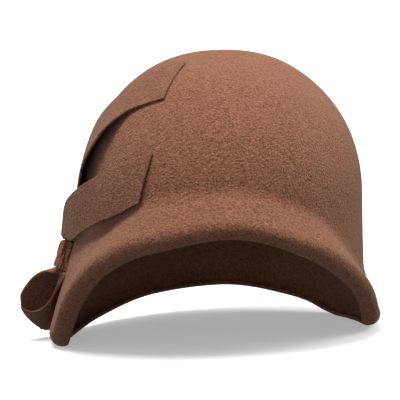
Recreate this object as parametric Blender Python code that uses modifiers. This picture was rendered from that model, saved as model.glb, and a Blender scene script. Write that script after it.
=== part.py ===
"""Cloche hat of brown wool felt with a flat felt bow on one side, resting on a floor.

Metres, +Z up. The front faces -Y and the bow sits on the -X side. Every piece is worked out with
the crown's axis upright, and seated() then leans it the little that its uneven brim gives it on a
flat floor. Angles in the tables are degrees round the crown: 0 is the front, 90 is +X, 180 is
the back and -90 (or 270) is the bow's side. The origin is on the floor under the crown's middle.
"""

import math

import bmesh
import bpy
import numpy as np

# Driving sizes
CROWN_WIDTH = 0.174    # outside of the crown, side to side
CROWN_LENGTH = 0.204   # outside of the crown, front to back
CROWN_TOP = 0.181      # top of the crown over the lowest point of the rim
SHOULDER = 0.089       # where the upright wall turns into the dome
DOME_POWER = 2.12      # 2 is a plain ellipse, more is squarer
FELT = 0.0025          # thickness of the blocked felt
BRIM_OUT = 0.0235      # greatest overhang of the brim beyond the crown's wall
BRIM_ROLL = 0.0075     # greatest outer radius of the rolled edge
BRIM_BEND = 0.035      # greatest radius of the hollow bend from wall to brim
TURN_UNDER = 110       # degrees that the rolled edge turns in past its outermost line
WALL_LEAST = 0.006     # least height of plain wall above the brim line
LEAN = 1.3             # degrees, towards +X, that the hat leans when it stands on its rim
LEAN_FROM = -0.104     # where it leans from: x of the rim's lowest point on the bow's side
FLATTENED = 0.0005     # depth of felt pressed flat where the rim rests

STRIP = 0.0015         # thickness of the bow's felt strips
GAP = 0.0003           # air left between neighbouring pieces
TAIL_OFF = 0.014       # greatest stand-off of the tails from the crown
LOOP_OFF = 0.041       # greatest stand-off of the loop
UPPER_CURL = 2.5       # how late across the upper tail its lower edge lifts: 1 is evenly
LOOP_CURL = 1.6        # the same for the loop, whose lower edge comes in towards the brim
PINCH = 0.011          # width of the strips where the knot holds them

KNOT_TURN = -86.2      # degrees: place of the knot round the crown
KNOT_HIGH = 0.3127 * CROWN_TOP    # height of its middle, which follows the strips
KNOT_TALL = 0.0168     # length of the wrap along the strips
KNOT_WALL = 0.0013     # thickness of the wrap
KNOT_OFF = 0.0131      # middle of the held strips, off the crown's wall
KNOT_SLOPE = 0.30      # how far it leans out towards its lower end, per length
KNOT_SLANT = 0.0022    # how far its lower mouth rises on the outer side and sinks on the inner one
KNOT_EASE = 0.0008     # room between the held strips and the wrap
KNOT_POWER = 6         # 2 is a plain oval, more is squarer
LAYER = STRIP + 2 * GAP    # pitch of the strips in the knot

# The rim round the crown: its lowest point and the brim line as shares of CROWN_TOP, and the
# overhang, the rolled edge's radius and the bend's radius as shares of their greatest values.
# turn, low, line, over, roll, bend
RIM = (
    (0,   0.406, 0.580, 0.55, 1.00, 0.40),
    (30,  0.330, 0.512, 0.51, 1.00, 0.42),
    (58,  0.190, 0.358, 0.46, 1.00, 0.58),
    (68,  0.128, 0.306, 0.44, 1.00, 0.74),
    (78,  0.050, 0.272, 0.42, 1.00, 0.90),
    (98,  0.024, 0.254, 0.40, 0.97, 1.00),
    (117, 0.021, 0.247, 0.38, 0.93, 0.85),
    (128, 0.034, 0.250, 0.37, 0.92, 0.80),
    (139, 0.061, 0.260, 0.36, 0.91, 0.68),
    (150, 0.078, 0.272, 0.36, 0.91, 0.60),
    (180, 0.112, 0.307, 0.40, 0.91, 0.60),
    (210, 0.094, 0.318, 0.47, 0.91, 0.65),
    (240, 0.035, 0.373, 0.75, 0.95, 0.85),
    (261, 0.000, 0.490, 0.98, 1.00, 1.00),
    (279, 0.003, 0.500, 1.00, 1.00, 1.00),
    (296, 0.150, 0.476, 0.93, 1.00, 0.80),
    (304, 0.222, 0.472, 0.89, 1.00, 0.66),
    (314, 0.290, 0.498, 0.81, 1.00, 0.55),
    (330, 0.357, 0.550, 0.68, 1.00, 0.42),
)

# The strips: a row for each section, from one end to the other. Each edge has its angle round the
# crown, its height as a share of CROWN_TOP and its stand-off, which is a share of TAIL_OFF or
# LOOP_OFF over that of a strip lying on the crown. The ends held in the knot are added below.
# turn_a, high_a, off_a, turn_b, high_b, off_b
UPPER_TAIL = (
    (-33.0, 0.956, 0.00, -32.2, 0.846, 0.00),
    (-46.0, 0.947, 0.02, -42.0, 0.827, 0.03),
    (-59.0, 0.914, 0.04, -50.2, 0.801, 0.13),
    (-76.0, 0.825, 0.02, -57.0, 0.726, 0.50),
    (-91.0, 0.730, 0.00, -64.2, 0.630, 0.57),
    (-96.0, 0.640, 0.00, -68.5, 0.566, 0.48),
    (-98.0, 0.540, 0.00, -74.5, 0.481, 0.34),
    (-97.0, 0.440, 0.15, -78.5, 0.412, 0.37),
    (-93.4, 0.382, 0.37, -78.6, 0.372, 0.44),
)
FRONT_TAIL = (
    (-30.5, 0.677, 0.00, -34.5, 0.520, 0.12),
    (-37.0, 0.657, 0.08, -39.0, 0.503, 0.14),
    (-44.2, 0.632, 0.20, -43.5, 0.485, 0.17),
    (-54.2, 0.599, 0.36, -55.0, 0.445, 0.42),
    (-62.2, 0.563, 0.62, -64.5, 0.407, 0.58),
    (-69.5, 0.532, 0.72, -70.5, 0.381, 0.66),
    (-78.0, 0.500, 0.74, -76.0, 0.371, 0.66),
    (-87.0, 0.435, 0.80, -80.0, 0.376, 0.70),
    (-88.6, 0.382, 0.86, -82.0, 0.372, 0.76),
)
SIDE_LOOP = (
    (-85.6, 0.266, 0.45, -90.6, 0.251, 0.35),
    (-86.6, 0.260, 0.56, -94.0, 0.239, 0.375),
    (-88.2, 0.247, 0.69, -96.6, 0.212, 0.42),
    (-90.0, 0.213, 0.85, -98.2, 0.152, 0.51),
    (-91.3, 0.164, 0.97, -98.9, 0.086, 0.63),
    (-92.2, 0.126, 0.97, -99.7, 0.034, 0.73),
    (-92.2, 0.109, 0.81, -100.9, 0.028, 0.66),
    (-91.4, 0.120, 0.665, -101.6, 0.040, 0.575),
    (-89.6, 0.156, 0.51, -101.6, 0.092, 0.50),
    (-86.0, 0.200, 0.41, -98.5, 0.176, 0.39),
    (-80.8, 0.246, 0.32, -92.8, 0.242, 0.295),
)

# Fineness of the meshes
ROUND = 64
DOME_STEPS, WALL_STEPS, BEND_STEPS, FLARE_STEPS, ROLL_STEPS = 9, 2, 3, 2, 8
STRIP_STEPS, STRIP_ACROSS = 3, 4


def column_curves(rows, at, period=None):
    """Each column of the rows as a smooth curve of the first one, never beyond its rows' values."""
    knots, values = np.array(rows, float)[:, 0], np.array(rows, float)[:, 1:]
    if period:
        knots = np.concatenate([knots - period, knots, knots + period])
        values = np.tile(values, (3, 1))
    step = np.diff(knots)[:, None]
    slope = np.diff(values, axis=0) / step
    ahead, behind = slope[1:], slope[:-1]
    same = ahead * behind > 0
    weight = step[1:] + 2 * step[:-1], 2 * step[1:] + step[:-1]
    with np.errstate(divide="ignore", invalid="ignore"):
        inner = (weight[0] + weight[1]) / (weight[0] / behind + weight[1] / ahead)
    tangent = np.vstack([slope[:1], np.where(same, inner, 0), slope[-1:]])
    i = np.clip(np.searchsorted(knots, at, side="right") - 1, 0, len(step) - 1)
    t = ((at - knots[i]) / step[i, 0])[:, None]
    start = (1 + 2 * t) * (1 - t) ** 2 * values[i] + t * (1 - t) ** 2 * step[i] * tangent[i]
    end = t * t * (3 - 2 * t) * values[i + 1] - t * t * (1 - t) * step[i] * tangent[i + 1]
    return start + end


def on_crown(turn, high, off):
    """Points off the crown's outer face, whose wall is taken as upright below the shoulder.

    turn is in degrees, high is the height of the face's point and off the distance along its normal.
    """
    angle = np.radians(turn)
    rise = np.clip((high - SHOULDER) / (CROWN_TOP - SHOULDER), 0, 0.9999)
    plan = (1 - rise**DOME_POWER) ** (1 / DOME_POWER)
    wide, long = CROWN_WIDTH / 2, CROWN_LENGTH / 2
    point = np.stack([wide * np.sin(angle) * plan, -long * np.cos(angle) * plan, high], -1)
    upward = rise ** (DOME_POWER - 1) / plan ** (DOME_POWER - 2) / (CROWN_TOP - SHOULDER)
    normal = np.stack([np.sin(angle) * plan / wide, -np.cos(angle) * plan / long, upward], -1)
    return point + normal / np.linalg.norm(normal, axis=-1, keepdims=True) * off[..., None]


def seated(points):
    """The points leaned to the side as the hat stands, and sunk by the depth pressed flat."""
    lean = math.radians(LEAN)
    x, z = points[..., 0] - LEAN_FROM, points[..., 2]
    return np.stack(
        [
            LEAN_FROM + x * math.cos(lean) + z * math.sin(lean),
            points[..., 1],
            z * math.cos(lean) - x * math.sin(lean) - FLATTENED,
        ],
        -1,
    )


def crown_and_brim():
    """The hat's outer face, rows from the crown's top out to the turned-under edge."""
    turn = np.arange(ROUND) * 360 / ROUND
    greatest = (CROWN_TOP, CROWN_TOP, BRIM_OUT, BRIM_ROLL, BRIM_BEND)
    low, line, over, roll, bend = (column_curves(RIM, turn, 360) * greatest).T
    # The flare is the straight line that touches both the hollow bend and the rolled edge.
    centre_out, centre_high = over - roll, low + roll
    across, down = centre_out - bend, line - centre_high
    apart = np.hypot(across, down)
    flare = np.arctan2(across, down) + np.arcsin((roll + bend) / apart)
    run = np.sqrt(apart**2 - (roll + bend) ** 2)
    dome_ends = np.maximum(SHOULDER, line + WALL_LEAST)
    dome_angle = np.arccos(((dome_ends - SHOULDER) / (CROWN_TOP - SHOULDER)) ** (DOME_POWER / 2))
    nothing = np.zeros_like(turn)

    rows = []
    for s in np.linspace(0, 1, DOME_STEPS + 1)[1:]:
        rise = np.cos(dome_angle * s) ** (2 / DOME_POWER)
        rows.append(on_crown(turn, SHOULDER + (CROWN_TOP - SHOULDER) * rise, nothing))
    for s in np.linspace(0, 1, WALL_STEPS + 1)[1:]:
        rows.append(on_crown(turn, dome_ends + (line - dome_ends) * s, nothing))
    for s in np.linspace(0, 1, BEND_STEPS + 1)[1:]:
        angle = flare * s
        rows.append(on_crown(turn, line - bend * np.sin(angle), bend * (1 - np.cos(angle))))
    bend_out, bend_high = bend * (1 - np.cos(flare)), line - bend * np.sin(flare)
    for s in np.linspace(0, 1, FLARE_STEPS + 1)[1:]:
        rows.append(on_crown(turn, bend_high - run * np.cos(flare) * s, bend_out + run * np.sin(flare) * s))
    for s in np.linspace(0, 1, ROLL_STEPS + 1)[1:]:
        angle = flare + (-math.radians(TURN_UNDER) - flare) * s
        rows.append(on_crown(turn, centre_high + roll * np.sin(angle), centre_out + roll * np.cos(angle)))
    return np.array(rows)


def held_in_knot(layer, side):
    """Three sections of a strip inside the knot, from its middle to just past the mouth.

    layer is -1 for the strip next to the crown and 1 for the outer one; side is 1 for the upper
    mouth and -1 for the lower one.
    """
    half = math.degrees(PINCH / 2 / (CROWN_LENGTH / 2 + KNOT_OFF))
    sections = []
    end = KNOT_TALL / 2 + STRIP - (side < 0) * layer * KNOT_SLANT
    for depth in (GAP, KNOT_TALL / 4, end):
        high = KNOT_HIGH + side * depth
        off = KNOT_OFF + layer * LAYER / 2 + (KNOT_HIGH - high) * KNOT_SLOPE
        sections.append((KNOT_TURN - half, high, off, KNOT_TURN + half, high, off))
    return sections


def strip_face(table, reach, curl, before, after):
    """The middle face of a strip, a grid of sections by points across.

    before and after are its sections held in the knot. Across the strip the stand-off changes as
    the power curl of the share across, so that a curl over 1 lifts the second edge alone.
    """
    lying = STRIP / 2 + 1.5 * GAP
    scale = np.array([1, CROWN_TOP, reach, 1, CROWN_TOP, reach])
    start = np.array([0, 0, lying, 0, 0, lying])
    sections = np.array(table) * scale + start
    sections = np.array([*before, *sections, *after])
    order = np.arange(len(sections))
    at = np.linspace(0, order[-1], order[-1] * STRIP_STEPS + 1)
    smooth = column_curves(np.column_stack([order, sections]), at)
    across = np.linspace(0, 1, STRIP_ACROSS + 1)[None, :, None]
    share = np.concatenate([across, across, across**curl], -1)
    turn, high, off = np.moveaxis(smooth[:, None, :3] * (1 - share) + smooth[:, None, 3:] * share, 2, 0)
    return on_crown(turn, high, off)


def knot_face():
    """The middle face of the knot's wrap: an oval tube round the held strips."""
    angle = np.linspace(0, 2 * math.pi, 28, endpoint=False)
    deep = LAYER / 2 + STRIP / 2 + KNOT_EASE + KNOT_WALL / 2
    wide = PINCH / 2 + KNOT_EASE + KNOT_WALL / 2
    corner = np.abs(np.cos(angle)) ** KNOT_POWER + np.abs(np.sin(angle)) ** KNOT_POWER
    corner **= -1 / KNOT_POWER
    side = on_crown(np.array([KNOT_TURN - 1, KNOT_TURN + 1]), np.full(2, KNOT_HIGH), np.full(2, KNOT_OFF))
    along = (side[1] - side[0]) / np.linalg.norm(side[1] - side[0])
    outward = np.array([along[1], -along[0], 0])
    rows = []
    for s in np.linspace(0.5, -0.5, 6):
        high = KNOT_HIGH + s * KNOT_TALL + (0.5 - s) * KNOT_SLANT * np.cos(angle)
        off = KNOT_OFF + (KNOT_HIGH - high) * KNOT_SLOPE
        middle = on_crown(np.full_like(high, KNOT_TURN), high, off)
        rows.append(
            middle
            + (np.cos(angle) * corner * deep)[:, None] * outward
            + (np.sin(angle) * corner * wide)[:, None] * along
        )
    return np.array(rows)


def grid_faces(rows, columns, closed):
    """Four-cornered faces of a grid whose points run row by row."""
    index = np.arange(rows * columns).reshape(rows, columns)
    if closed:
        index = np.concatenate([index, index[:, :1]], axis=1)
    return np.stack([index[:-1, :-1], index[1:, :-1], index[1:, 1:], index[:-1, 1:]], -1).reshape(-1, 4)


def felt_material(name, colour):
    material = bpy.data.materials.new(name)
    material.use_nodes = True
    shader = material.node_tree.nodes["Principled BSDF"]
    shader.inputs["Base Color"].default_value = (*colour, 1)
    shader.inputs["Roughness"].default_value = 0.95
    shader.inputs["Metallic"].default_value = 0.0
    return material


def sheet_object(name, points, faces, thickness, offset, material, collection):
    """A felt piece: its face as an open mesh, given its thickness by a Solidify."""
    mesh = bpy.data.meshes.new(name)
    mesh.from_pydata(seated(points).reshape(-1, 3).tolist(), [], faces)
    mesh.shade_smooth()
    mesh.materials.append(material)
    piece = bpy.data.objects.new(name, mesh)
    collection.objects.link(piece)
    solid = piece.modifiers.new("thickness", "SOLIDIFY")
    solid.thickness = thickness
    solid.offset = offset
    solid.use_quality_normals = True
    return piece


for old in list(bpy.data.objects):
    bpy.data.objects.remove(old)

hat = bpy.data.collections.new("cloche_hat")
cutters = bpy.data.collections.new("cutters")
cutters.hide_render = True
for group in (hat, cutters):
    bpy.context.scene.collection.children.link(group)

felt = felt_material("brown_felt", (0.27, 0.125, 0.080))
strip_felt = felt_material("brown_strip_felt", (0.24, 0.110, 0.072))

# Crown and brim, one blocked felt
face = crown_and_brim()
top = on_crown(np.array(0.0), np.array(CROWN_TOP), np.array(0.0)) * [0, 0, 1]
points = np.vstack([top[None], face.reshape(-1, 3)])
fan = [(0, 1 + i, 1 + (i + 1) % ROUND) for i in range(ROUND)]
sides = (grid_faces(len(face), ROUND, True) + 1).tolist()
body = sheet_object("hat_body", points, fan + sides, FELT, -1, felt, hat)

# The floor, which presses the rim flat where it rests
floor_mesh = bpy.data.meshes.new("floor_cutter")
block = bmesh.new()
bmesh.ops.create_cube(block, size=1.0)
for corner in block.verts:
    corner.co.x, corner.co.y = corner.co.x * CROWN_LENGTH * 2, corner.co.y * CROWN_LENGTH * 2
    corner.co.z = (corner.co.z - 0.5) * BRIM_OUT
block.to_mesh(floor_mesh)
block.free()
floor = bpy.data.objects.new("floor_cutter", floor_mesh)
floor.hide_render = True
floor.display_type = "WIRE"
cutters.objects.link(floor)
press = body.modifiers.new("pressed flat", "BOOLEAN")
press.operation, press.solver, press.object = "DIFFERENCE", "EXACT", floor

# The bow: two tails, a loop and the wrap that holds them
upper = strip_face(UPPER_TAIL, TAIL_OFF, UPPER_CURL, [], held_in_knot(-1, 1)[::-1])
front = strip_face(FRONT_TAIL, TAIL_OFF, 1, [], held_in_knot(1, 1)[::-1])
loop = strip_face(SIDE_LOOP, LOOP_OFF, LOOP_CURL, held_in_knot(1, -1), held_in_knot(-1, -1)[::-1])
for name, strip in (("upper_tail", upper), ("front_tail", front), ("side_loop", loop)):
    faces = grid_faces(len(strip), STRIP_ACROSS + 1, False).tolist()
    sheet_object(name, strip, faces, STRIP, 0, strip_felt, hat)
knot = knot_face()
sheet_object(
    "knot_band", knot, grid_faces(len(knot), knot.shape[1], True).tolist(), KNOT_WALL, 0, strip_felt, hat
)
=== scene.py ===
"""A brown wool felt cloche hat with a flat felt bow on one side, standing on a pale studio floor."""

import math

import bpy
import numpy as np
from mathutils import Matrix, Vector


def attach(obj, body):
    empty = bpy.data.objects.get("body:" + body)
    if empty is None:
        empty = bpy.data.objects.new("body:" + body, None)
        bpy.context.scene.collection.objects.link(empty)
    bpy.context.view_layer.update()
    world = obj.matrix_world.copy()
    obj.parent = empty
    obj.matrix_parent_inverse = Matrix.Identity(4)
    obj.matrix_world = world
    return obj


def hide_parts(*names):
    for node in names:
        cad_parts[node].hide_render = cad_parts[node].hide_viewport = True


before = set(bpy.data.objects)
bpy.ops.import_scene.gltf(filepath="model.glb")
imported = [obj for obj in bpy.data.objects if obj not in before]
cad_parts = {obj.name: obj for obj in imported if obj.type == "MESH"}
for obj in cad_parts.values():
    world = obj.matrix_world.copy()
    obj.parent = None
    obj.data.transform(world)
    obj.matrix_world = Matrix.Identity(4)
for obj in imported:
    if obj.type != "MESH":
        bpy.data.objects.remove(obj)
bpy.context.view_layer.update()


# Crown and brim
# The real piece is one cone of wool felt, steamed and pulled over a block: a smooth domed crown
# that turns without a seam into a deep, turned-down brim. The brim's edge is rolled under and left
# raw, high over the face and low at both sides, where the hat stands on it.

CROWN_WIDTH, CROWN_LENGTH, CROWN_TOP = 0.174, 0.204, 0.181
SHOULDER = 0.089       # height where the upright wall turns into the dome
DOME_POWER = 2.12      # 2 is a plain ellipse, more is squarer
FELT = 0.0025          # thickness of the blocked felt
BRIM_OUT, BRIM_ROLL, BRIM_BEND = 0.0235, 0.0075, 0.035    # greatest overhang and radii
TURN_UNDER = 110       # degrees that the rolled edge turns in past its outermost line
WALL_LEAST = 0.006     # least height of plain wall above the brim line
LEAN, LEAN_FROM = 1.3, -0.104    # degrees that the hat leans as it stands, and the x it leans from
FLATTENED = 0.0005     # depth of felt pressed flat where the rim rests
ROUND = 360            # points round the crown
DOME_STEPS, WALL_STEPS, BEND_STEPS, FLARE_STEPS, ROLL_STEPS, CUT_STEPS = 50, 8, 14, 18, 26, 6

# Round the rim, in degrees from the front: lowest point and brim line as shares of CROWN_TOP,
# then overhang, rolled edge and hollow bend as shares of their greatest sizes.
RIM = (
    (0,   0.406, 0.580, 0.55, 1.00, 0.40),
    (30,  0.330, 0.512, 0.51, 1.00, 0.42),
    (58,  0.190, 0.358, 0.46, 1.00, 0.58),
    (68,  0.128, 0.306, 0.44, 1.00, 0.74),
    (78,  0.050, 0.272, 0.42, 1.00, 0.90),
    (98,  0.024, 0.254, 0.40, 0.97, 1.00),
    (117, 0.021, 0.247, 0.38, 0.93, 0.85),
    (128, 0.034, 0.250, 0.37, 0.92, 0.80),
    (139, 0.061, 0.260, 0.36, 0.91, 0.68),
    (150, 0.078, 0.272, 0.36, 0.91, 0.60),
    (180, 0.112, 0.307, 0.40, 0.91, 0.60),
    (210, 0.094, 0.318, 0.47, 0.91, 0.65),
    (240, 0.035, 0.373, 0.75, 0.95, 0.85),
    (261, 0.000, 0.490, 0.98, 1.00, 1.00),
    (279, 0.003, 0.500, 1.00, 1.00, 1.00),
    (296, 0.150, 0.476, 0.93, 1.00, 0.80),
    (304, 0.222, 0.472, 0.89, 1.00, 0.66),
    (314, 0.290, 0.498, 0.81, 1.00, 0.55),
    (330, 0.357, 0.550, 0.68, 1.00, 0.42),
)


def column_curves(rows, at, period=None):
    """Each column of the rows as a smooth curve of the first one: cubics between neighbouring rows,
    whose slope at a row is the weighted harmonic mean of the slopes on its two sides, or 0 where
    those differ in sign, so no curve passes beyond its rows' values."""
    knots, values = np.array(rows, float)[:, 0], np.array(rows, float)[:, 1:]
    if period:
        knots = np.concatenate([knots - period, knots, knots + period])
        values = np.tile(values, (3, 1))
    step = np.diff(knots)[:, None]
    slope = np.diff(values, axis=0) / step
    ahead, behind = slope[1:], slope[:-1]
    weight = step[1:] + 2 * step[:-1], 2 * step[1:] + step[:-1]
    with np.errstate(divide="ignore", invalid="ignore"):
        inner = (weight[0] + weight[1]) / (weight[0] / behind + weight[1] / ahead)
    tangent = np.vstack([slope[:1], np.where(ahead * behind > 0, inner, 0), slope[-1:]])
    i = np.clip(np.searchsorted(knots, at, side="right") - 1, 0, len(step) - 1)
    t = ((at - knots[i]) / step[i, 0])[:, None]
    start = (1 + 2 * t) * (1 - t) ** 2 * values[i] + t * (1 - t) ** 2 * step[i] * tangent[i]
    end = t * t * (3 - 2 * t) * values[i + 1] - t * t * (1 - t) * step[i] * tangent[i + 1]
    return start + end


def on_crown(turn, high, off):
    """Points off the crown's outer face along its normal. The face is an oval of the crown's width
    and length; above the shoulder the oval shrinks by (1 - rise^p)^(1/p), rise going from 0 at the
    shoulder to 1 at the top and p being DOME_POWER."""
    angle = np.radians(turn)
    rise = np.clip((high - SHOULDER) / (CROWN_TOP - SHOULDER), 0, 0.9999)
    plan = (1 - rise**DOME_POWER) ** (1 / DOME_POWER)
    wide, long = CROWN_WIDTH / 2, CROWN_LENGTH / 2
    point = np.stack([wide * np.sin(angle) * plan, -long * np.cos(angle) * plan, high], -1)
    upward = rise ** (DOME_POWER - 1) / plan ** (DOME_POWER - 2) / (CROWN_TOP - SHOULDER)
    normal = np.stack([np.sin(angle) * plan / wide, -np.cos(angle) * plan / long, upward], -1)
    return point + normal / np.linalg.norm(normal, axis=-1, keepdims=True) * off[..., None]


def seated(points):
    """The points turned by LEAN degrees about the rim's low side, and lowered by the depth pressed
    flat; what would go below the floor is pressed up to it."""
    lean = math.radians(LEAN)
    x, z = points[..., 0] - LEAN_FROM, points[..., 2]
    across = LEAN_FROM + x * math.cos(lean) + z * math.sin(lean)
    high = z * math.cos(lean) - x * math.sin(lean) - FLATTENED
    return np.stack([across, points[..., 1], np.maximum(high, 0)], -1)


def hat_profile(turn):
    """The outer face from the crown's top to the turned-under edge, one row for each step: quarter
    of a superellipse for the dome, straight wall, circular hollow bend, straight flare tangent to
    bend and roll, and the roll's circle round to TURN_UNDER degrees under it."""
    greatest = (CROWN_TOP, CROWN_TOP, BRIM_OUT, BRIM_ROLL, BRIM_BEND)
    low, line, over, roll, bend = (column_curves(RIM, turn, 360) * greatest).T
    across, down = over - roll - bend, line - low - roll
    apart = np.hypot(across, down)
    flare = np.arctan2(across, down) + np.arcsin((roll + bend) / apart)
    run = np.sqrt(apart**2 - (roll + bend) ** 2)
    dome_ends = np.maximum(SHOULDER, line + WALL_LEAST)
    dome_angle = np.arccos(((dome_ends - SHOULDER) / (CROWN_TOP - SHOULDER)) ** (DOME_POWER / 2))

    def steps(count):
        return (np.arange(count) + 1)[:, None] / count

    rise = np.cos(dome_angle * steps(DOME_STEPS)) ** (2 / DOME_POWER)
    dome = SHOULDER + (CROWN_TOP - SHOULDER) * rise
    wall = dome_ends + (line - dome_ends) * steps(WALL_STEPS)
    turned = flare * steps(BEND_STEPS)
    hollow_high, hollow_out = line - bend * np.sin(turned), bend * (1 - np.cos(turned))
    flare_high = hollow_high[-1] - run * np.cos(flare) * steps(FLARE_STEPS)
    flare_out = hollow_out[-1] + run * np.sin(flare) * steps(FLARE_STEPS)
    round_edge = flare + (-math.radians(TURN_UNDER) - flare) * steps(ROLL_STEPS)
    edge_high, edge_out = low + roll + roll * np.sin(round_edge), over - roll + roll * np.cos(round_edge)
    high = np.vstack([dome, wall, hollow_high, flare_high, edge_high])
    off = np.vstack([dome * 0, wall * 0, hollow_out, flare_out, edge_out])
    return on_crown(np.broadcast_to(turn, high.shape), high, off)


def grid_normals(points, closed):
    """Unit normals of a grid of points, from the cross product of its two directions."""
    along = np.gradient(points, axis=0)
    if closed:
        across = np.roll(points, -1, 1) - np.roll(points, 1, 1)
    else:
        across = np.gradient(points, axis=1)
    normal = np.cross(along, across)
    return normal / np.linalg.norm(normal, axis=-1, keepdims=True)


def cells(index):
    """Four-cornered faces between the neighbours of a grid of point numbers."""
    return np.stack([index[:-1, :-1], index[1:, :-1], index[1:, 1:], index[:-1, 1:]], -1).reshape(-1, 4)


def round_faces(index):
    """The faces of a grid of point numbers whose last column joins its first."""
    return cells(np.concatenate([index, index[:, :1]], axis=1))


def felt_piece(name, points, faces, material):
    """A smooth-shaded object of these points and faces, riding on the hat."""
    mesh = bpy.data.meshes.new(name)
    mesh.from_pydata(points.tolist(), [], faces)
    mesh.shade_smooth()
    mesh.materials.append(material)
    piece = bpy.data.objects.new(name, mesh)
    bpy.context.scene.collection.objects.link(piece)
    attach(piece, "root")
    return piece


def gentle_waves(points, waves, depth):
    """A slow unevenness in metres, the mean of a few sines of the place, each along its own way."""
    ways = np.array(waves, float)
    return depth * np.sin(points @ ways[:, :3].T + ways[:, 3]).mean(-1)


def link_into(tree, node, socket, value):
    """A socket's value, or the link into it where the value is another node's output."""
    if hasattr(value, "is_output"):
        tree.links.new(value, node.inputs[socket])
    else:
        node.inputs[socket].default_value = value


def noise_of(tree, place, size, detail, stretch=(1, 1, 1), turned=(0, 0, 0)):
    """Noise from 0 to 1 whose lumps are about size metres, longer along an axis with a small stretch."""
    mapping = tree.nodes.new("ShaderNodeMapping")
    mapping.inputs["Rotation"].default_value = turned
    mapping.inputs["Scale"].default_value = stretch
    tree.links.new(place, mapping.inputs["Vector"])
    noise = tree.nodes.new("ShaderNodeTexNoise")
    noise.inputs["Scale"].default_value = 1 / size
    noise.inputs["Detail"].default_value = detail
    noise.inputs["Roughness"].default_value = 0.6
    tree.links.new(mapping.outputs["Vector"], noise.inputs["Vector"])
    return noise.outputs["Fac"]


def ranged(tree, value, from_low, from_high, to_low, to_high):
    """The value carried from one range to another, and held at its ends."""
    node = tree.nodes.new("ShaderNodeMapRange")
    node.inputs["From Min"].default_value, node.inputs["From Max"].default_value = from_low, from_high
    node.inputs["To Min"].default_value, node.inputs["To Max"].default_value = to_low, to_high
    tree.links.new(value, node.inputs["Value"])
    return node.outputs["Result"]


def worked(tree, operation, first, second, third=None):
    """One step of arithmetic on two or three values."""
    node = tree.nodes.new("ShaderNodeMath")
    node.operation = operation
    for i, value in enumerate((first, second) if third is None else (first, second, third)):
        link_into(tree, node, i, value)
    return node.outputs["Value"]


def wool_felt_group():
    """Wool felt: dyed wool in four sizes of mottling, with paler and darker fibres that lie matted
    in three directions. It puts out the colour, and the height of the matted surface."""
    group = bpy.data.node_groups.new("wool felt", "ShaderNodeTree")
    group.interface.new_socket("Place", in_out="INPUT", socket_type="NodeSocketVector")
    for name in ("Dye", "Pale fibre"):
        group.interface.new_socket(name, in_out="INPUT", socket_type="NodeSocketColor")
    for name, kind in (("Colour", "NodeSocketColor"), ("Height", "NodeSocketFloat")):
        group.interface.new_socket(name, in_out="OUTPUT", socket_type=kind)
    given, result = group.nodes.new("NodeGroupInput"), group.nodes.new("NodeGroupOutput")
    place = given.outputs["Place"]

    cloud = ranged(group, noise_of(group, place, 0.030, 3), 0.3, 0.7, -0.04, 0.04)
    mottle = ranged(group, noise_of(group, place, 0.0030, 3), 0.3, 0.7, -0.07, 0.07)
    grain = ranged(group, noise_of(group, place, 0.0012, 2), 0.25, 0.75, -0.50, 0.50)
    speck = ranged(group, noise_of(group, place, 0.0005, 1), 0.25, 0.75, -0.60, 0.60)
    uneven = worked(group, "ADD", worked(group, "ADD", cloud, mottle), worked(group, "ADD", grain, speck))
    shade = worked(group, "ADD", uneven, 1.0)

    fibres = [
        noise_of(group, place, 0.0009, 2, (1, 0.16, 0.3), (0.3, 0.5, 0.2)),
        noise_of(group, place, 0.0009, 2, (0.2, 1, 0.25), (0.9, -0.4, 1.1)),
        noise_of(group, place, 0.0008, 2, (0.3, 0.2, 1), (-0.6, 0.8, 0.5)),
    ]
    longest = worked(group, "MAXIMUM", worked(group, "MAXIMUM", fibres[0], fibres[1]), fibres[2])
    deepest = worked(group, "MINIMUM", worked(group, "MINIMUM", fibres[0], fibres[1]), fibres[2])
    pale = ranged(group, longest, 0.60, 0.78, 0.0, 0.55)
    dark = ranged(group, deepest, 0.24, 0.42, 0.70, 1.0)

    dyed = group.nodes.new("ShaderNodeVectorMath")
    dyed.operation = "SCALE"
    group.links.new(given.outputs["Dye"], dyed.inputs[0])
    group.links.new(worked(group, "MULTIPLY", shade, dark), dyed.inputs["Scale"])
    flecked = group.nodes.new("ShaderNodeMix")
    flecked.data_type = "RGBA"
    group.links.new(pale, flecked.inputs["Factor"])
    group.links.new(dyed.outputs["Vector"], flecked.inputs["A"])
    group.links.new(given.outputs["Pale fibre"], flecked.inputs["B"])
    group.links.new(flecked.outputs["Result"], result.inputs["Colour"])

    matted = worked(group, "MULTIPLY_ADD", longest, 0.5, worked(group, "MULTIPLY", grain, 1.6))
    group.links.new(worked(group, "MULTIPLY_ADD", mottle, 2.2, matted), result.inputs["Height"])
    return group


wool_felt = wool_felt_group()
NAP = 0.0005    # depth of the matted surface


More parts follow.
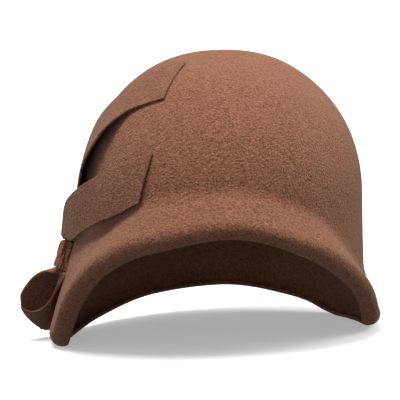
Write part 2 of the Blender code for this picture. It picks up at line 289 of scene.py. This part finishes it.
def felt_material(name, dye, pale, sheen):
    """A dull felt material with the wool felt group behind its colour and its bump."""
    material = bpy.data.materials.new(name)
    material.use_nodes = True
    tree = material.node_tree
    shader = tree.nodes["Principled BSDF"]
    shader.inputs["Roughness"].default_value = 0.95
    shader.inputs["Specular IOR Level"].default_value = 0.15
    shader.inputs["Sheen Weight"].default_value = sheen
    shader.inputs["Sheen Roughness"].default_value = 0.45
    shader.inputs["Sheen Tint"].default_value = (1.0, 0.76, 0.62, 1)
    felt = tree.nodes.new("ShaderNodeGroup")
    felt.node_tree = wool_felt
    felt.inputs["Dye"].default_value = (*dye, 1)
    felt.inputs["Pale fibre"].default_value = (*pale, 1)
    tree.links.new(tree.nodes.new("ShaderNodeTexCoord").outputs["Object"], felt.inputs["Place"])
    bump = tree.nodes.new("ShaderNodeBump")
    bump.inputs["Distance"].default_value = NAP
    tree.links.new(felt.outputs["Height"], bump.inputs["Height"])
    tree.links.new(bump.outputs["Normal"], shader.inputs["Normal"])
    tree.links.new(felt.outputs["Colour"], shader.inputs["Base Color"])
    return material


outer = hat_profile(np.arange(ROUND) * 360 / ROUND)
outward = grid_normals(outer, True)
# The blocked felt is never quite even: the crown swells and sinks by a few tenths of a millimetre.
SWELLS = ((60, 35, 20, 0.4), (-45, 50, 40, 2.1), (25, -70, 55, 4.0), (90, 20, -50, 1.2))
SWELL_DEPTH = 0.0006
outer = outer + outward * gentle_waves(outer, SWELLS, SWELL_DEPTH)[..., None]
inner = outer - outward * FELT
# The raw edge: half a circle from the outer face round to the inner one.
past = outer[-1] - outer[-2]
past /= np.linalg.norm(past, axis=-1, keepdims=True)
middle = (outer[-1] + inner[-1]) / 2
round_cut = np.radians(np.arange(1, CUT_STEPS) * 180 / CUT_STEPS)[:, None, None]
cut_edge = middle + FELT / 2 * (outward[-1] * np.cos(round_cut) + past * np.sin(round_cut))
skin = seated(np.vstack([outer, cut_edge, inner[::-1]]))
# The outer and the inner face each close at the top in a fan of triangles, a hair above their first row.
FAN_RISE = 0.00001
top = seated(np.array([[0, 0, outer[0, :, 2].mean() + FAN_RISE]]))[0]
under_top = seated(np.array([[0, 0, inner[0, :, 2].mean() + FAN_RISE]]))[0]
points = np.vstack([skin.reshape(-1, 3), top, under_top])
index = np.arange(len(points) - 2).reshape(-1, ROUND)
first_row, last_row = index[0], index[-1]
cap = np.stack([np.full(ROUND, index.size), first_row, np.roll(first_row, -1)], -1).tolist()
inner_cap = np.stack([np.full(ROUND, index.size + 1), np.roll(last_row, -1), last_row], -1).tolist()
brown_felt = felt_material("brown_felt", dye=(0.268, 0.110, 0.060), pale=(0.46, 0.24, 0.15), sheen=0.22)
hat_body = felt_piece("hat_body_felt", points, cap + inner_cap + round_faces(index).tolist(), brown_felt)
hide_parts("hat_body")


# The bow's two tails and its loop
# Straight strips cut from 1.5 mm felt with plain raw edges. They are gathered to a narrow neck where
# the wrap holds them, and each tail is cut off at a slant: the upper one lies on the crown, the
# front one stands off the side, and the loop hangs out over the brim.

STRIP, GAP = 0.0015, 0.0003           # thickness of the strips and the air between them
LAYER = STRIP + 2 * GAP               # pitch of the strips in the wrap
TAIL_OFF, LOOP_OFF = 0.014, 0.041     # greatest stand-off of tails and loop
UPPER_CURL, LOOP_CURL = 2.5, 1.6      # how late across the strip its second edge lifts: 1 is evenly
PINCH = 0.011                         # width of the strips in the wrap
KNOT_TURN, KNOT_HIGH = -86.2, 0.0566  # the wrap's middle: degrees round the crown, and height
KNOT_TALL, KNOT_OFF = 0.0168, 0.0131  # its length, and its middle's stand-off
KNOT_SLOPE, KNOT_SLANT = 0.30, 0.0022    # how it leans out downwards, and the slant of its lower mouth
SOFT_EDGE, SOFT_STEPS = 0.0009, 6     # how far in the cut edges are rounded, in so many lines
LINES_ACROSS, LINES_A_SECTION = 27, 14
# Gathers by the wrap: how many, how deep, how far they reach in sections, and their phase.
UPPER_GATHERS, FRONT_GATHERS, LOOP_GATHERS = (2, 0.0006, 0.5, 0), (2, 0.0006, 0.5, 2), (1.5, 0.0014, 0.5, 0)

# A row for each section from one end to the other. Each edge has its angle round the crown, its
# height as a share of CROWN_TOP and its stand-off as a share of TAIL_OFF or LOOP_OFF.
UPPER_TAIL = (
    (-33.0, 0.956, 0.00, -32.2, 0.846, 0.00),
    (-46.0, 0.947, 0.02, -42.0, 0.827, 0.03),
    (-59.0, 0.914, 0.04, -50.2, 0.801, 0.13),
    (-76.0, 0.825, 0.02, -57.0, 0.726, 0.50),
    (-91.0, 0.730, 0.00, -64.2, 0.630, 0.57),
    (-96.0, 0.640, 0.00, -68.5, 0.566, 0.48),
    (-98.0, 0.540, 0.00, -74.5, 0.481, 0.34),
    (-97.0, 0.440, 0.15, -78.5, 0.412, 0.37),
    (-93.4, 0.382, 0.37, -78.6, 0.372, 0.44),
)
FRONT_TAIL = (
    (-30.5, 0.677, 0.00, -34.5, 0.520, 0.12),
    (-37.0, 0.657, 0.08, -39.0, 0.503, 0.14),
    (-44.2, 0.632, 0.20, -43.5, 0.485, 0.17),
    (-54.2, 0.599, 0.36, -55.0, 0.445, 0.42),
    (-62.2, 0.563, 0.62, -64.5, 0.407, 0.58),
    (-69.5, 0.532, 0.72, -70.5, 0.381, 0.66),
    (-78.0, 0.500, 0.74, -76.0, 0.371, 0.66),
    (-87.0, 0.435, 0.80, -80.0, 0.376, 0.70),
    (-88.6, 0.382, 0.86, -82.0, 0.372, 0.76),
)
SIDE_LOOP = (
    (-85.6, 0.262, 0.45, -90.6, 0.249, 0.35),
    (-86.6, 0.260, 0.56, -94.0, 0.239, 0.375),
    (-88.2, 0.247, 0.69, -96.6, 0.212, 0.42),
    (-90.0, 0.213, 0.85, -98.2, 0.152, 0.51),
    (-91.3, 0.164, 0.97, -98.9, 0.086, 0.63),
    (-92.2, 0.126, 0.97, -99.7, 0.034, 0.73),
    (-92.2, 0.109, 0.81, -100.9, 0.028, 0.66),
    (-91.4, 0.120, 0.665, -101.6, 0.040, 0.575),
    (-89.6, 0.156, 0.51, -101.6, 0.092, 0.50),
    (-86.0, 0.200, 0.41, -98.5, 0.176, 0.39),
    (-80.6, 0.248, 0.315, -92.8, 0.236, 0.295),
)


def held_in_wrap(layer, side):
    """Three sections of a strip inside the wrap, from its middle to just past its mouth."""
    half = math.degrees(PINCH / 2 / (CROWN_LENGTH / 2 + KNOT_OFF))
    end = KNOT_TALL / 2 + STRIP - (side < 0) * layer * KNOT_SLANT
    depth = np.array([GAP, KNOT_TALL / 4, end])
    high = KNOT_HIGH + side * depth
    off = KNOT_OFF + layer * LAYER / 2 + (KNOT_HIGH - high) * KNOT_SLOPE
    turns = np.full_like(high, KNOT_TURN)
    return np.stack([turns - half, high, off, turns + half, high, off], -1)


def felt_strip(table, reach, curl, before, after, gathers):
    """A strip as a closed pillow. Its middle face runs between two edges that are smooth curves
    through the sections: straight, but for its stand-off, which changes as the power curl of the
    share across. Each face stands half the thickness off it, times
    (1 - (1 - d / SOFT_EDGE)^4)^(1/4) at a distance d within SOFT_EDGE of the strip's border, and
    gathers (number, depth, fade in sections, phase) add cosine waves across it, which grow from
    nothing at the wrap to their depth at a distance x = fade and die away again, as x e^(1 - x)."""
    lying = STRIP / 2 + 1.5 * GAP
    sections = np.array(table) * (1, CROWN_TOP, reach, 1, CROWN_TOP, reach) + (0, 0, lying, 0, 0, lying)
    sections = np.vstack([before, sections, after])
    count = len(sections) - 1
    numbered = np.column_stack([np.arange(count + 1), sections])
    edge = SOFT_EDGE * (1 - np.cos(np.linspace(0, math.pi / 2, SOFT_STEPS)))
    short = 0.02    # of a section, to measure how long the first and the last one are
    ends = column_curves(numbered, np.array([0, short, count - short, count]))[:, :3]
    ends = on_crown(*np.moveaxis(ends, 1, 0))
    first, final = (np.linalg.norm(ends[i + 1] - ends[i]) / short for i in (0, 2))
    inside = np.linspace(edge[-1] / first, count - edge[-1] / final, count * LINES_A_SECTION)
    at = np.concatenate([edge[:-1] / first, inside, count - edge[-2::-1] / final])
    smooth = column_curves(numbered, at)
    side_a = on_crown(*np.moveaxis(smooth[:, :3], 1, 0))
    side_b = on_crown(*np.moveaxis(smooth[:, 3:], 1, 0))
    width = np.linalg.norm(side_b - side_a, axis=-1)[:, None]
    even = np.linspace(0, 1, LINES_ACROSS)[None, :]
    even = edge[-1] / width + (1 - 2 * edge[-1] / width) * even
    across = np.concatenate([edge[None, :-1] / width, even, 1 - edge[None, -2::-1] / width], 1)
    share = np.stack([across, across, across**curl], -1)
    turn, high, off = np.moveaxis(smooth[:, None, :3] * (1 - share) + smooth[:, None, 3:] * share, 2, 0)
    number, depth, fade, phase = gathers
    from_start = np.maximum(at - (len(before) - 0.6), 0) * bool(len(before)) / fade
    from_end = np.maximum(count - (len(after) - 0.6) - at, 0) / fade
    swell = depth * (from_start * np.exp(1 - from_start) - from_end * np.exp(1 - from_end))[:, None]
    middle_face = on_crown(turn, high, off)
    normal = grid_normals(middle_face, False)
    middle_face = middle_face + normal * (swell * np.cos(2 * math.pi * number * across + phase))[..., None]
    normal = grid_normals(middle_face, False)
    near = np.minimum(
        np.minimum(across, 1 - across) * width,
        np.minimum(at * first, (count - at) * final)[:, None],
    )
    full = (1 - (1 - np.clip(near / SOFT_EDGE, 0, 1)) ** 4) ** 0.25 * STRIP / 2
    return seated(middle_face + normal * full[..., None]), seated(middle_face - normal * full[..., None])


def strip_piece(name, faces_of_strip, material):
    """The two faces of a strip as one closed mesh, with one set of points along their shared border."""
    upper_face, lower_face = faces_of_strip
    rows, columns = upper_face.shape[:2]
    index = np.arange(rows * columns).reshape(rows, columns)
    border = np.zeros((rows, columns), bool)
    border[[0, -1], :] = border[:, [0, -1]] = True
    under = np.where(border, index, 0)
    under[~border] = rows * columns + np.arange((~border).sum())
    points = np.vstack([upper_face.reshape(-1, 3), lower_face[~border]])
    return felt_piece(name, points, np.vstack([cells(index), cells(under)[:, ::-1]]).tolist(), material)


bow_felt = felt_material("bow_felt", dye=(0.242, 0.101, 0.058), pale=(0.43, 0.225, 0.14), sheen=0.20)
cut_end = np.empty((0, 6))
upper_neck, front_neck = held_in_wrap(-1, 1)[::-1], held_in_wrap(1, 1)[::-1]
loop_out, loop_back = held_in_wrap(1, -1), held_in_wrap(-1, -1)[::-1]
upper_faces = felt_strip(UPPER_TAIL, TAIL_OFF, UPPER_CURL, cut_end, upper_neck, UPPER_GATHERS)
front_faces = felt_strip(FRONT_TAIL, TAIL_OFF, 1, cut_end, front_neck, FRONT_GATHERS)
loop_faces = felt_strip(SIDE_LOOP, LOOP_OFF, LOOP_CURL, loop_out, loop_back, LOOP_GATHERS)
upper_tail = strip_piece("upper_tail_felt", upper_faces, bow_felt)
front_tail = strip_piece("front_tail_felt", front_faces, bow_felt)
side_loop = strip_piece("side_loop_felt", loop_faces, bow_felt)
for piece, node in ((upper_tail, "upper_tail"), (front_tail, "front_tail"), (side_loop, "side_loop")):
    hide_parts(node)


# The wrap that holds the bow together
# A short, thinner strip of the same felt pulled tight round the necks of tails and loop and sewn
# behind, so that it creases along them.

KNOT_WALL = 0.0013     # thickness of the wrap
KNOT_EASE = 0.0008     # room between the held strips and the wrap
KNOT_POWER = 6         # 2 is a plain oval, more is squarer
WIDE_CREASE, FINE_CREASE = 0.00062, 0.0003    # depths of its creases
INNER_CREASE = 0.25    # share of them that shows on the inner face
WRAP_ROUND, WRAP_ROWS = 144, 40


def wrap_faces():
    """An oval tube round the necks, a superellipse of power KNOT_POWER in section, with creases
    along it whose depth is a sine of the angle that turns a little from one mouth to the other;
    its wall is thinned to a round edge at both mouths."""
    angle = np.linspace(0, 2 * math.pi, WRAP_ROUND, endpoint=False)
    deep = LAYER / 2 + STRIP / 2 + KNOT_EASE + KNOT_WALL / 2
    wide = PINCH / 2 + KNOT_EASE + KNOT_WALL / 2
    power = -1 / KNOT_POWER
    corner = (np.abs(np.cos(angle)) ** KNOT_POWER + np.abs(np.sin(angle)) ** KNOT_POWER) ** power
    beside = np.array([KNOT_TURN - 1, KNOT_TURN + 1])
    left, right = on_crown(beside, np.full(2, KNOT_HIGH), np.full(2, KNOT_OFF))
    along = (right - left) / np.linalg.norm(right - left)
    outward = np.array([along[1], -along[0], 0])
    share = np.linspace(0.5, -0.5, WRAP_ROWS)[:, None]
    high = KNOT_HIGH + share * KNOT_TALL + (0.5 - share) * KNOT_SLANT * np.cos(angle)
    middle = on_crown(np.full_like(high, KNOT_TURN), high, KNOT_OFF + (KNOT_HIGH - high) * KNOT_SLOPE)
    crease = WIDE_CREASE * np.sin(6 * angle[None, :] + 2.6 * share)
    crease = crease + FINE_CREASE * np.sin(13 * angle[None, :] - 4 * share)
    mouth = np.clip((0.5 - np.abs(share)) * KNOT_TALL / SOFT_EDGE, 0, 1)
    thick = KNOT_WALL / 2 * (1 - (1 - mouth) ** 4) ** 0.25

    def tube(out):
        return middle + ((np.cos(angle) * corner)[None, :] * (deep + out))[..., None] * outward \
            + ((np.sin(angle) * corner)[None, :] * (wide + out))[..., None] * along

    return seated(tube(crease + thick)), seated(tube(crease * INNER_CREASE - thick))


outside, inside = wrap_faces()
points = np.vstack([outside.reshape(-1, 3), inside.reshape(-1, 3)])
outer_index = np.arange(WRAP_ROWS * WRAP_ROUND).reshape(WRAP_ROWS, WRAP_ROUND)
inner_index = outer_index[::-1] + outer_index.size
ring = np.vstack([outer_index, inner_index, outer_index[:1]])
knot_band = felt_piece("knot_band_felt", points, round_faces(ring).tolist(), bow_felt)
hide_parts("knot_band")


# The studio
# A round pale floor that bends up into a low backdrop, a large soft light from above and in front,
# weaker ones low in front and on the right, and a camera just above the floor at the hat's front.

FLOOR_REACH, BACKDROP = 5.0, 0.9      # radius of the flat floor, and of the bend at its border
FLAT_SHARE = 0.75                     # share of the rows that lie on the flat floor
FLOOR_ROWS, FLOOR_ROUND = 60, 96
reach = np.linspace(0, 1, FLOOR_ROWS)[:, None]
climb = np.linspace(0, 2 * math.pi, FLOOR_ROUND, endpoint=False)
bent = np.clip((reach - FLAT_SHARE) / (1 - FLAT_SHARE), 0, 1) * math.pi / 2
far = FLOOR_REACH * np.minimum(reach / FLAT_SHARE, 1) + BACKDROP * np.sin(bent)
rise = BACKDROP * (1 - np.cos(bent))
bowl = np.stack([far * np.cos(climb), far * np.sin(climb), rise * np.ones_like(climb)], -1)
bowl_index = np.arange(FLOOR_ROWS * FLOOR_ROUND).reshape(FLOOR_ROWS, FLOOR_ROUND)
floor_mesh = bpy.data.meshes.new("studio_floor")
floor_mesh.from_pydata(bowl.reshape(-1, 3).tolist(), [], round_faces(bowl_index)[:, ::-1].tolist())
floor_mesh.shade_smooth()
paper = bpy.data.materials.new("pale_paper")
paper.use_nodes = True
paper_tree = paper.node_tree
paper_shader = paper_tree.nodes["Principled BSDF"]
paper_shader.inputs["Base Color"].default_value = (0.86, 0.86, 0.86, 1)
paper_shader.inputs["Roughness"].default_value = 0.9
paper_shader.inputs["Emission Color"].default_value = (1, 1, 1, 1)
from_middle = paper_tree.nodes.new("ShaderNodeVectorMath")
from_middle.operation = "LENGTH"
paper_tree.links.new(paper_tree.nodes.new("ShaderNodeTexCoord").outputs["Object"], from_middle.inputs[0])
glow = ranged(paper_tree, from_middle.outputs["Value"], 0.15, 2.0, 0.35, 0.80)
paper_tree.links.new(glow, paper_shader.inputs["Emission Strength"])
floor_mesh.materials.append(paper)
studio_floor = bpy.data.objects.new("studio_floor", floor_mesh)
bpy.context.scene.collection.objects.link(studio_floor)
studio_floor.visible_diffuse = False


def soft_light(name, place, aim, size, power):
    """A square soft light at a place, turned to its aim and hidden from the camera."""
    lamp = bpy.data.lights.new(name, "AREA")
    lamp.shape, lamp.size, lamp.energy = "SQUARE", size, power
    light = bpy.data.objects.new(name, lamp)
    light.location = place
    light.rotation_euler = (Vector(aim) - Vector(place)).to_track_quat("-Z", "Y").to_euler()
    light.visible_camera = False
    bpy.context.scene.collection.objects.link(light)


soft_light("top_light", (-0.25, -0.55, 2.1), (0, 0, 0.1), 1.0, 44)
soft_light("front_light", (-0.5, -2.4, 0.35), (0, 0, 0.08), 1.4, 8)
soft_light("right_light", (1.8, 0.2, 1.2), (0, 0, 0.1), 1.2, 24)
# The air is pale above the horizon and dark below it, so little light reaches the hat from underneath.
world = bpy.data.worlds.new("studio_air")
world.use_nodes = True
air = world.node_tree
way = air.nodes.new("ShaderNodeSeparateXYZ")
air.links.new(air.nodes.new("ShaderNodeTexCoord").outputs["Generated"], way.inputs["Vector"])
background = air.nodes["Background"]
air.links.new(ranged(air, way.outputs["Z"], -0.15, 0.6, 0.12, 0.45), background.inputs["Strength"])
background.inputs["Color"].default_value = (1, 1, 1, 1)
bpy.context.scene.world = world
bpy.context.scene.view_settings.view_transform = "Standard"

# Where the camera stands, in the frame of the upright crown: degrees round it and above the
# floor, degrees of roll, metres away; then leaned with the hat.
CAMERA_ROUND, CAMERA_ABOVE, CAMERA_ROLL, CAMERA_AWAY = -1.5, 5.0, -1.5, 1.30
AIM_HIGH = 0.089       # height on the crown's axis that the camera looks at
PICTURE, SENSOR = 400, 36             # the picture's side in pixels and the sensor's in millimetres
PIXELS_A_METRE = 1600                 # at the crown's axis
AIM_ACROSS, AIM_DOWN = 222.6, 197     # pixels from the picture's left and top to the aim
round_, above, roll = (math.radians(a) for a in (CAMERA_ROUND, CAMERA_ABOVE, CAMERA_ROLL))
back = Vector((math.sin(round_) * math.cos(above), -math.cos(round_) * math.cos(above), math.sin(above)))
right = Vector((math.cos(round_), math.sin(round_), 0))
up = back.cross(right)
right, up = right * math.cos(roll) + up * math.sin(roll), up * math.cos(roll) - right * math.sin(roll)
standing = Matrix((right, up, back)).transposed().to_4x4()
standing.translation = Vector((0, 0, AIM_HIGH)) + back * CAMERA_AWAY
leaned = (
    Matrix.Translation((LEAN_FROM, 0, -FLATTENED))
    @ Matrix.Rotation(math.radians(LEAN), 4, "Y")
    @ Matrix.Translation((-LEAN_FROM, 0, 0))
)
eye = bpy.data.cameras.new("camera")
eye.sensor_width = SENSOR
eye.lens = SENSOR * CAMERA_AWAY * PIXELS_A_METRE / PICTURE
eye.shift_x, eye.shift_y = 0.5 - AIM_ACROSS / PICTURE, AIM_DOWN / PICTURE - 0.5
eye.clip_end = 100
camera = bpy.data.objects.new("camera", eye)
camera.matrix_world = leaned @ standing
bpy.context.scene.collection.objects.link(camera)
bpy.context.scene.camera = camera
